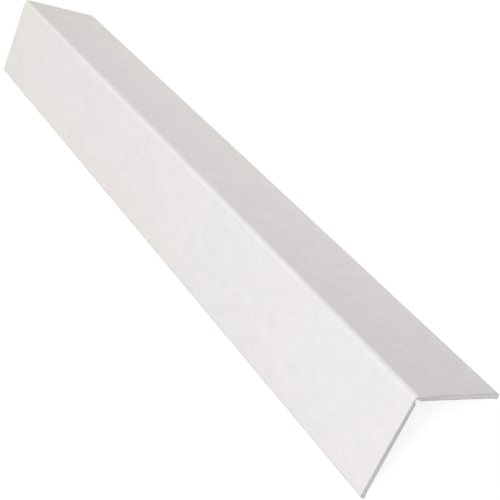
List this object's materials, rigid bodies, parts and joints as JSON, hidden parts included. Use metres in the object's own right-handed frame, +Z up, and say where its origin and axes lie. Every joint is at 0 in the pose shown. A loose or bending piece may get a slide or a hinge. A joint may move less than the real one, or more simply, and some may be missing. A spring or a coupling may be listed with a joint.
{
  "type": "corner guard moulding",
  "caption": "White vinyl angle moulding with a rounded nose, rounded free edges and a relief groove inside, fixed over an outside wall corner to protect it.",
  "frame": {"origin": "on the floor under the nose, halfway along the length, with the guard standing on the lips of its two free edges", "axes": "+Z up through the nose, +Y along the length, X across the two legs"},
  "size_m": [0.0524, 0.3048, 0.0277],
  "materials": {
    "white_vinyl": "smooth satin extruded rigid vinyl"
  },
  "bodies": {
    "root": {"corner_guard": "white_vinyl"}
  },
  "joints": []
}
